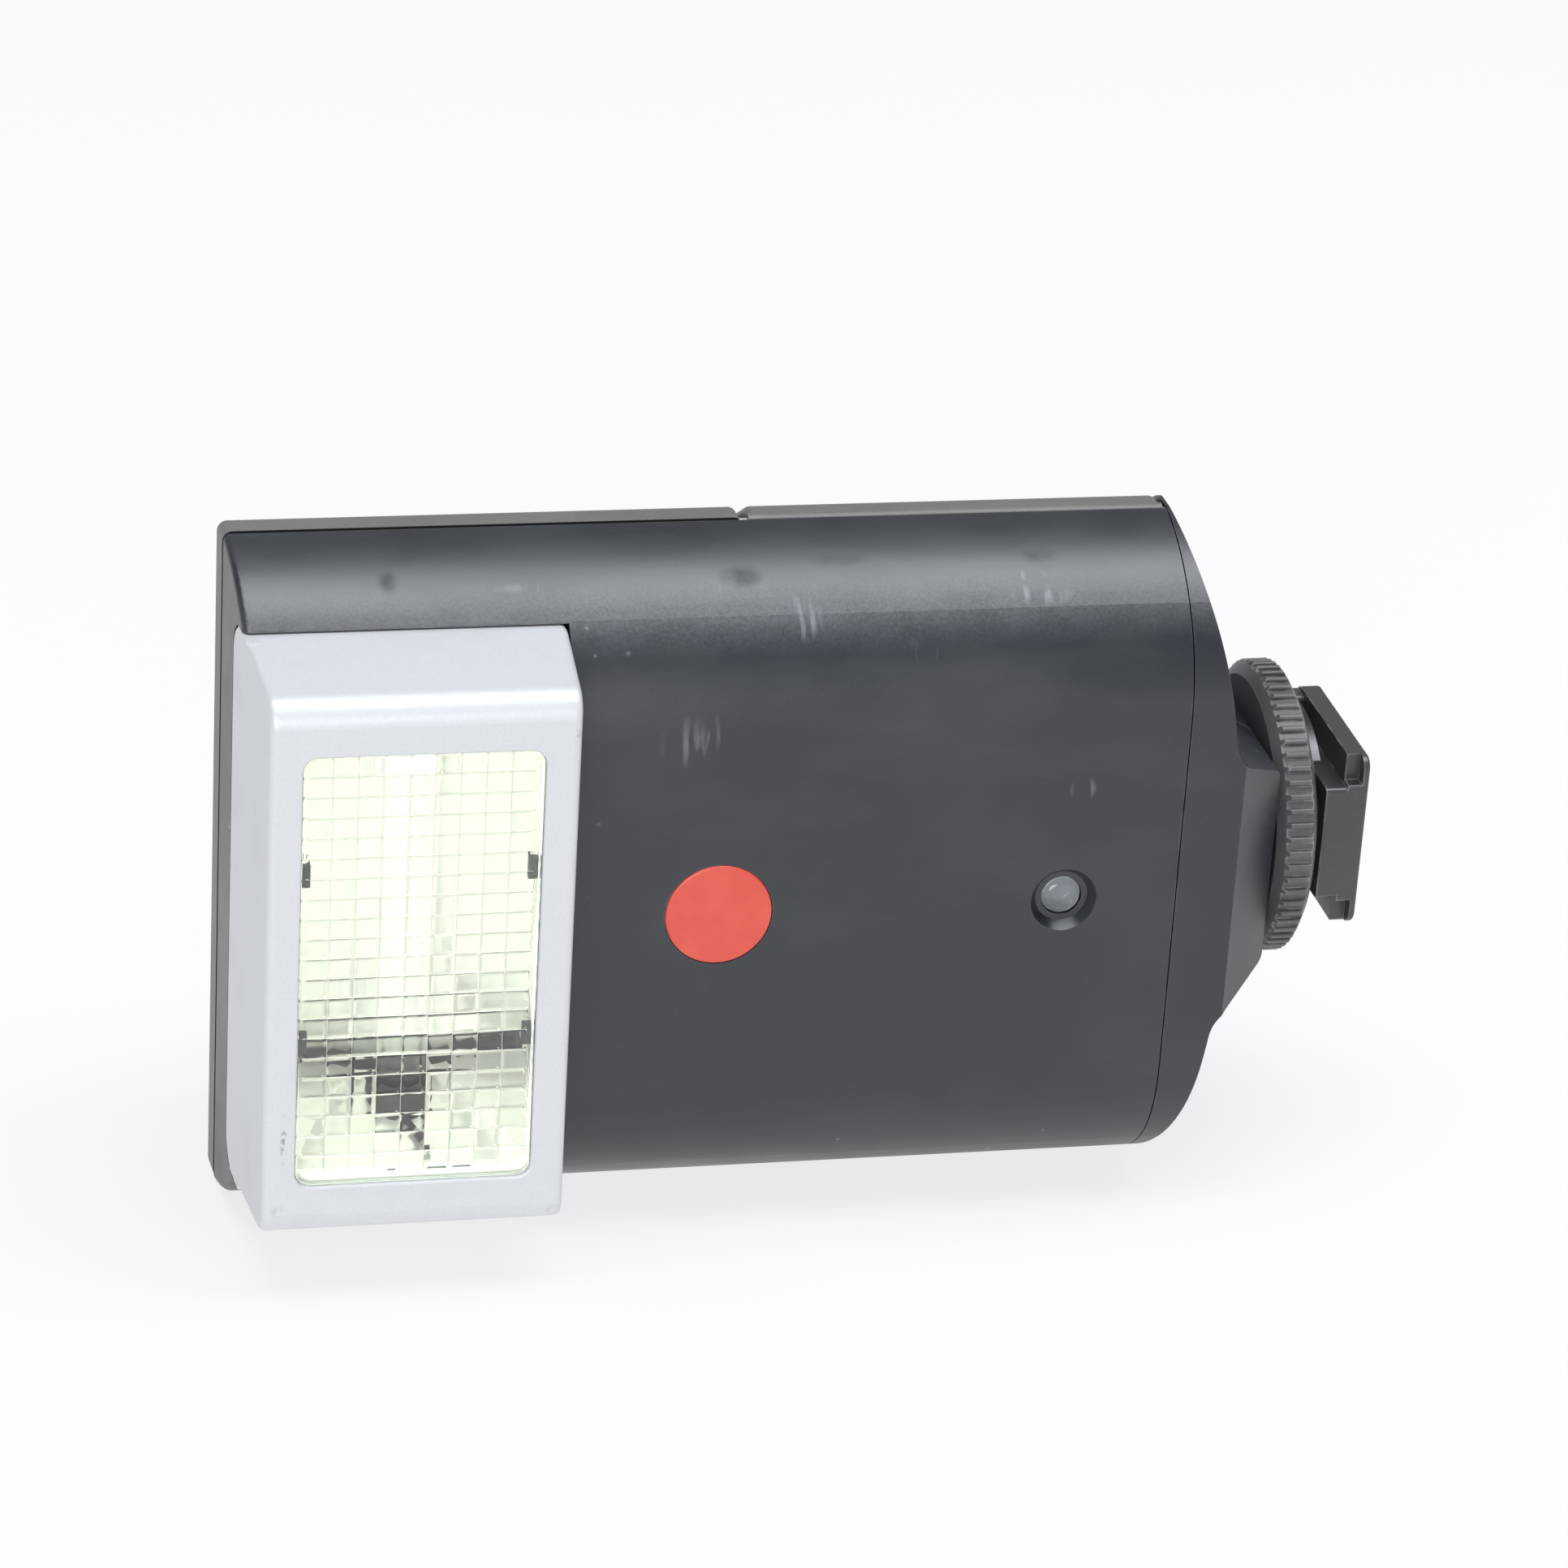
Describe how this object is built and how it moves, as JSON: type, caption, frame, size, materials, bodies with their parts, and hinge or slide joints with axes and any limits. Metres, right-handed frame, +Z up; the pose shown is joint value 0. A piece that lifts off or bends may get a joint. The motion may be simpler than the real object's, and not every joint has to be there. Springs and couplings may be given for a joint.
{
  "type": "speedlight flash",
  "caption": "Compact shoe-mount electronic flash with silver lamp head, clear lens window, battery door, knurled locking wheel and accessory shoe foot.",
  "frame": {"origin": "below the middle of the object's box, on the surface that its long side lies on", "axes": "+X from the lamp head to the shoe foot, -Y the side that faces the subject, +Z up from the long side that it lies on"},
  "size_m": [0.1156, 0.045, 0.0702],
  "materials": {
    "shell_black": "satin black moulded plastic, finely textured",
    "bezel_silver": "satin silver paint on plastic, scuffed at corners",
    "window_clear": "clear moulded plastic with a lens grid inside",
    "frame_white": "matt white moulded plastic",
    "reflector_mirror": "bright metallised sheet",
    "clip_dark": "dark plastic",
    "tube_glass": "clear quartz glass",
    "electrode_steel": "bare wire",
    "boot_rubber": "black silicone rubber",
    "wire_black": "black insulated wire",
    "badge_red": "glossy red disc, plain",
    "sensor_lens": "dark translucent lens",
    "diode_black": "black epoxy",
    "board_green": "solder-masked board",
    "transformer_dark": "ferrite core and varnished winding",
    "coil_copper": "varnished copper winding",
    "capacitor_sleeve": "shrink sleeve",
    "tray_black": "moulded plastic",
    "cell_wrap": "shrink-wrapped lithium cell, plain",
    "spring_steel": "nickel-plated spring steel",
    "display_grey": "grey-green display glass",
    "display_cover": "clear acrylic cover",
    "key_grey": "dark grey silicone rubber",
    "button_grey": "grey plastic",
    "lamp_amber": "amber light pipe",
    "switch_black": "ribbed black plastic",
    "screw_black": "black-oxide steel",
    "stem_alloy": "threaded alloy, dark",
    "wheel_black": "moulded black plastic, knurled",
    "plate_alloy": "dark anodised alloy",
    "pin_steel": "polished steel",
    "foot_black": "black glass-filled plastic",
    "contact_gold": "gold-plated brass"
  },
  "bodies": {
    "case": {"front_shell": "shell_black", "rear_shell": "shell_black", "bottom_cap": "shell_black", "door_hinge_pin": "electrode_steel", "head_bezel": "bezel_silver", "window_panel": "window_clear", "window_frame": "frame_white", "reflector": "reflector_mirror", "reflector_clips": "clip_dark", "flash_tube": "tube_glass", "tube_electrodes": "electrode_steel", "tube_boots": "boot_rubber", "trigger_wire": "wire_black", "badge_disc": "badge_red", "sensor_lens": "sensor_lens", "sensor_diode": "diode_black", "main_board": "board_green", "control_board": "board_green", "step_up_transformer": "transformer_dark", "trigger_coil": "coil_copper", "flash_capacitor": "capacitor_sleeve", "battery_tray": "tray_black", "battery_cells": "cell_wrap", "battery_springs": "spring_steel", "battery_plates": "spring_steel", "display_module": "display_grey", "display_window": "display_cover", "ready_lamp": "lamp_amber", "case_screws": "screw_black", "shoe_stem": "stem_alloy", "shoe_foot": "foot_black", "foot_screws": "screw_black"},
    "door": {"battery_door": "shell_black"},
    "latch": {"door_latch": "switch_black"},
    "wheel": {"locking_wheel": "wheel_black"},
    "clamp": {"clamping_plate": "plate_alloy"},
    "lock_pin": {"locking_pin": "pin_steel"},
    "switch": {"power_switch": "switch_black"},
    "key_mode_body": {"key_mode": "key_grey"},
    "key_up_body": {"key_up": "key_grey"},
    "key_down_body": {"key_down": "key_grey"},
    "key_set_body": {"key_set": "key_grey"},
    "test_button_body": {"test_button": "button_grey"},
    "contact_centre_body": {"contact_centre": "contact_gold"},
    "contact_left_body": {"contact_left": "contact_gold"},
    "contact_right_body": {"contact_right": "contact_gold"},
    "contact_back_body": {"contact_back": "contact_gold"}
  },
  "joints": [
    {"name": "door_hinge", "type": "hinge", "parent": "case", "child": "door", "pos_m": [0.0144, 0.003, 0.0694], "axis": [1, 0, 0], "range_deg": [0, 95]},
    {"name": "latch_slide", "type": "slide", "parent": "door", "child": "latch", "axis": [1, 0, 0], "range_m": [0, 0.0022], "stiffness_N_per_m": 150, "springref_m": -0.001},
    {"name": "wheel_turn", "type": "hinge", "parent": "case", "child": "wheel", "pos_m": [0.04905, 0.0065, 0.0351], "axis": [1, 0, 0], "range_deg": [0, 270]},
    {"name": "clamp_slide", "type": "slide", "parent": "case", "child": "clamp", "axis": [1, 0, 0], "range_m": [0, 0.0007]},
    {"name": "lock_pin_slide", "type": "slide", "parent": "case", "child": "lock_pin", "axis": [1, 0, 0], "range_m": [0, 0.0012]},
    {"name": "switch_slide", "type": "slide", "parent": "case", "child": "switch", "axis": [0, 0, 1], "range_m": [0, 0.004]},
    {"name": "key_mode_press", "type": "slide", "parent": "case", "child": "key_mode_body", "axis": [0, -1, 0], "range_m": [0, 0.0005], "stiffness_N_per_m": 200, "springref_m": -0.0003},
    {"name": "key_up_press", "type": "slide", "parent": "case", "child": "key_up_body", "axis": [0, -1, 0], "range_m": [0, 0.0005], "stiffness_N_per_m": 200, "springref_m": -0.0003},
    {"name": "key_down_press", "type": "slide", "parent": "case", "child": "key_down_body", "axis": [0, -1, 0], "range_m": [0, 0.0005], "stiffness_N_per_m": 200, "springref_m": -0.0003},
    {"name": "key_set_press", "type": "slide", "parent": "case", "child": "key_set_body", "axis": [0, -1, 0], "range_m": [0, 0.0005], "stiffness_N_per_m": 200, "springref_m": -0.0003},
    {"name": "test_button_press", "type": "slide", "parent": "case", "child": "test_button_body", "axis": [0, -1, 0], "range_m": [0, 0.0005], "stiffness_N_per_m": 200, "springref_m": -0.0003},
    {"name": "contact_centre_press", "type": "slide", "parent": "case", "child": "contact_centre_body", "axis": [-1, 0, 0], "range_m": [0, 0.0005], "stiffness_N_per_m": 250, "springref_m": -0.0003},
    {"name": "contact_left_press", "type": "slide", "parent": "case", "child": "contact_left_body", "axis": [-1, 0, 0], "range_m": [0, 0.0005], "stiffness_N_per_m": 250, "springref_m": -0.0003},
    {"name": "contact_right_press", "type": "slide", "parent": "case", "child": "contact_right_body", "axis": [-1, 0, 0], "range_m": [0, 0.0005], "stiffness_N_per_m": 250, "springref_m": -0.0003},
    {"name": "contact_back_press", "type": "slide", "parent": "case", "child": "contact_back_body", "axis": [-1, 0, 0], "range_m": [0, 0.0005], "stiffness_N_per_m": 250, "springref_m": -0.0003}
  ],
  "couplings": [
    {"joint": "clamp_slide", "follows": "wheel_turn", "m_per_rad": 0.0001432},
    {"joint": "lock_pin_slide", "follows": "wheel_turn", "m_per_rad": 0.00025}
  ]
}
